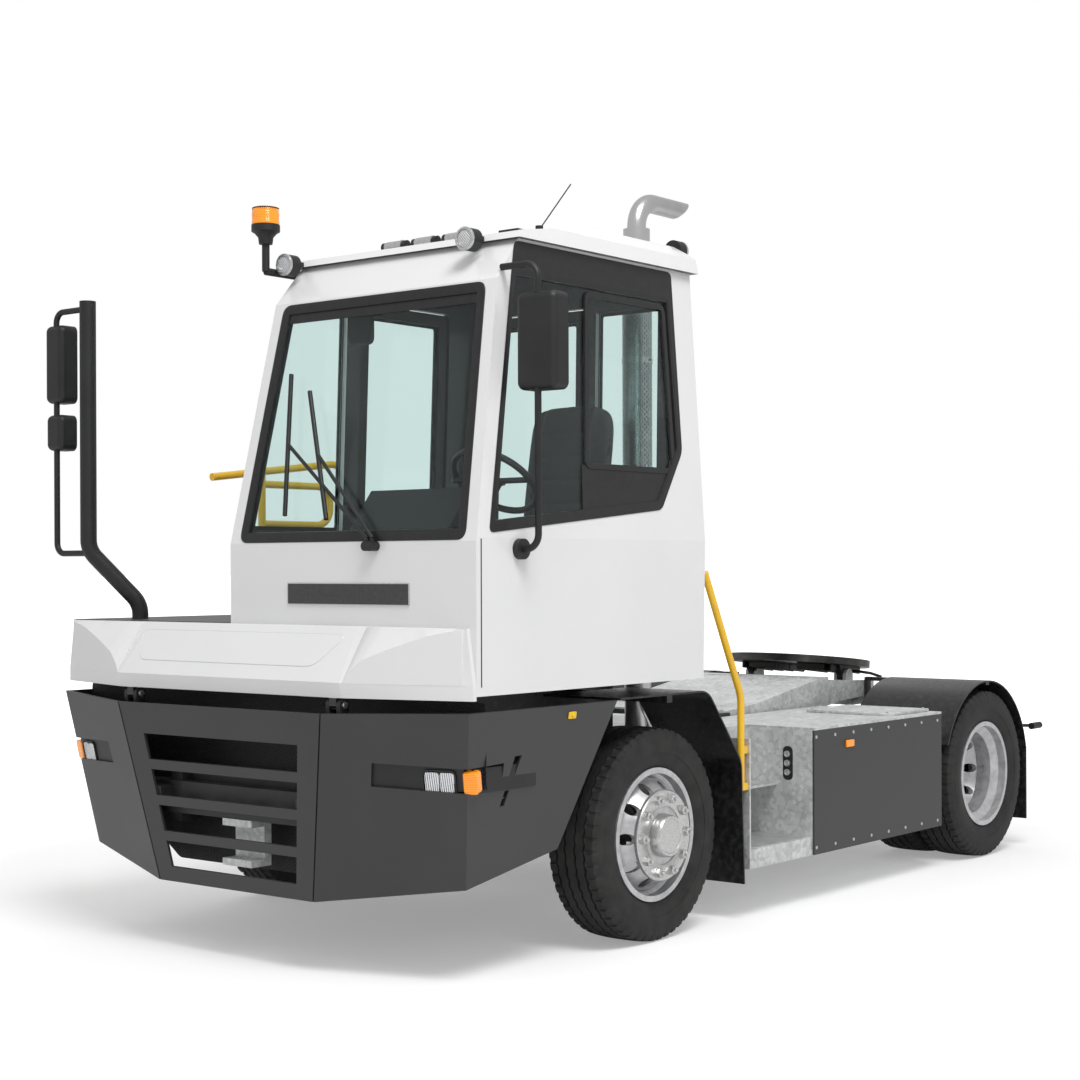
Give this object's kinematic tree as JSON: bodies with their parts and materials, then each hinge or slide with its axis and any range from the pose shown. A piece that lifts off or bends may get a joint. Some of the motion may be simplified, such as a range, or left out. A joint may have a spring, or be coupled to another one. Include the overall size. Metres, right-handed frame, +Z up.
{
  "type": "terminal tractor",
  "caption": "Yard tractor with an offset tilting cab, a right-hand deck, a lifting fifth wheel on a hinged boom, and twin rear wheels.",
  "frame": {"origin": "ground point under the centre of the vehicle's box", "axes": "+X forward, +Y to the vehicle's left, +Z up"},
  "size_m": [5.58, 2.9, 3.4749],
  "materials": {
    "white_paint": "clean white gloss paint",
    "dark_grey": "dark satin grey",
    "black_plastic": "black moulded plastic",
    "black_steel": "black chassis paint",
    "galvanised": "mottled galvanised steel",
    "silver": "silver wheel paint",
    "rubber": "black tyre rubber",
    "yellow": "yellow hand rail paint",
    "glass": "pale tinted safety glass",
    "lamp": "clear lamp lenses in dark housings",
    "tail_lamp": "red and amber lenses on a steel bar",
    "cast": "dark cast iron",
    "chrome": "bright stainless tube",
    "seat_fabric": "dark woven seat cover"
  },
  "bodies": {
    "root": {"chassis_frame": "black_steel", "bumper_center": "dark_grey", "bumper_corners": "dark_grey", "head_lamps": "lamp", "tow_coupling": "galvanised", "radiator": "black_plastic", "engine_block": "cast", "front_axle": "black_steel", "leaf_springs": "black_steel", "rear_axle": "black_steel", "front_mudguards": "black_plastic", "rear_mudguards": "black_plastic", "side_boxes": "galvanised", "side_panels": "dark_grey", "step_wells": "galvanised", "deck_plates": "galvanised", "exhaust_stack": "chrome", "left_handrail": "yellow", "tail_lamps": "tail_lamp"},
    "cab": {"cab_floor": "black_plastic", "cab_left_side": "white_paint", "cab_right_side": "white_paint", "cab_rear_wall": "white_paint", "cab_front_panel": "white_paint", "cab_roof": "white_paint", "cab_glass": "glass", "front_hood": "white_paint", "right_deck": "dark_grey", "right_side_panel": "white_paint", "right_handrail": "yellow", "left_mirror": "black_plastic", "right_mirror": "black_plastic", "roof_equipment": "black_plastic", "seat_base": "black_plastic", "seat": "seat_fabric", "steering_wheel": "black_plastic", "dashboard": "black_plastic", "wipers": "black_plastic"},
    "right_door": {"right_door": "black_plastic", "right_door_glass": "glass"},
    "rear_door": {"rear_door": "black_plastic", "rear_door_glass": "glass"},
    "steer_left": {"knuckle_left": "black_steel"},
    "steer_right": {"knuckle_right": "black_steel"},
    "tie_rod": {"tie_rod": "black_steel"},
    "wheel_front_left": {"tyre_front_left": "rubber", "rim_front_left": "silver"},
    "wheel_front_right": {"tyre_front_right": "rubber", "rim_front_right": "silver"},
    "wheels_rear_left": {"tyres_rear_left": "rubber", "rims_rear_left": "silver"},
    "wheels_rear_right": {"tyres_rear_right": "rubber", "rims_rear_right": "silver"},
    "boom": {"lift_boom": "galvanised"},
    "lift_barrels": {"lift_barrels": "black_steel"},
    "lift_rods": {"lift_rods": "chrome"},
    "fifth_wheel": {"fifth_wheel": "cast"}
  },
  "joints": [
    {"name": "cab_tilt", "type": "hinge", "parent": "root", "child": "cab", "pos_m": [2.695, 0, 1.118], "axis": [0, 1, 0], "range_deg": [0, 45]},
    {"name": "right_door_hinge", "type": "hinge", "parent": "cab", "child": "right_door", "pos_m": [1.804, -0.178, 2.2], "axis": [0, 0, 1], "range_deg": [0, 85]},
    {"name": "rear_door_hinge", "type": "hinge", "parent": "cab", "child": "rear_door", "pos_m": [0.9104, -0.054, 2.05], "axis": [0, 0, 1], "range_deg": [0, 90]},
    {"name": "steering", "type": "hinge", "parent": "root", "child": "steer_left", "pos_m": [1.25, 0.88, 0.478], "axis": [0, 0, 1], "range_deg": [-40, 40]},
    {"name": "steering_right", "type": "hinge", "parent": "root", "child": "steer_right", "pos_m": [1.25, -0.88, 0.478], "axis": [0, 0, 1], "range_deg": [-40, 40]},
    {"name": "tie_rod_slide", "type": "slide", "parent": "root", "child": "tie_rod", "axis": [0, 1, 0], "range_m": [-0.12, 0.12]},
    {"name": "front_left_spin", "type": "hinge", "parent": "steer_left", "child": "wheel_front_left", "pos_m": [1.25, 1.067, 0.478], "axis": [0, 1, 0], "continuous": true},
    {"name": "front_right_spin", "type": "hinge", "parent": "steer_right", "child": "wheel_front_right", "pos_m": [1.25, -1.067, 0.478], "axis": [0, 1, 0], "continuous": true},
    {"name": "rear_left_spin", "type": "hinge", "parent": "root", "child": "wheels_rear_left", "pos_m": [-1.97, 0.9575, 0.478], "axis": [0, 1, 0], "continuous": true},
    {"name": "rear_right_spin", "type": "hinge", "parent": "root", "child": "wheels_rear_right", "pos_m": [-1.97, -0.9575, 0.478], "axis": [0, 1, 0], "continuous": true},
    {"name": "boom_lift", "type": "hinge", "parent": "root", "child": "boom", "pos_m": [-0.4, 0, 0.85], "axis": [0, 1, 0], "range_deg": [0, 16]},
    {"name": "lift_barrel_tilt", "type": "hinge", "parent": "root", "child": "lift_barrels", "pos_m": [-1, 0, 0.46], "axis": [0, 1, 0], "range_deg": [0, 18.98]},
    {"name": "lift_rod_slide", "type": "slide", "parent": "lift_barrels", "child": "lift_rods", "axis": [-0.7869, 0, 0.6171], "range_m": [0, 0.195]},
    {"name": "fifth_wheel_pitch", "type": "hinge", "parent": "boom", "child": "fifth_wheel", "pos_m": [-1.95, 0, 1.012], "axis": [0, 1, 0], "range_deg": [0, 12]}
  ],
  "couplings": [
    {"joint": "steering_right", "follows": "steering", "ratio": 1},
    {"joint": "tie_rod_slide", "follows": "steering", "m_per_rad": 0.165},
    {"joint": "lift_barrel_tilt", "follows": "boom_lift", "ratio": 1.1854},
    {"joint": "lift_rod_slide", "follows": "boom_lift", "m_per_rad": 0.69645}
  ]
}
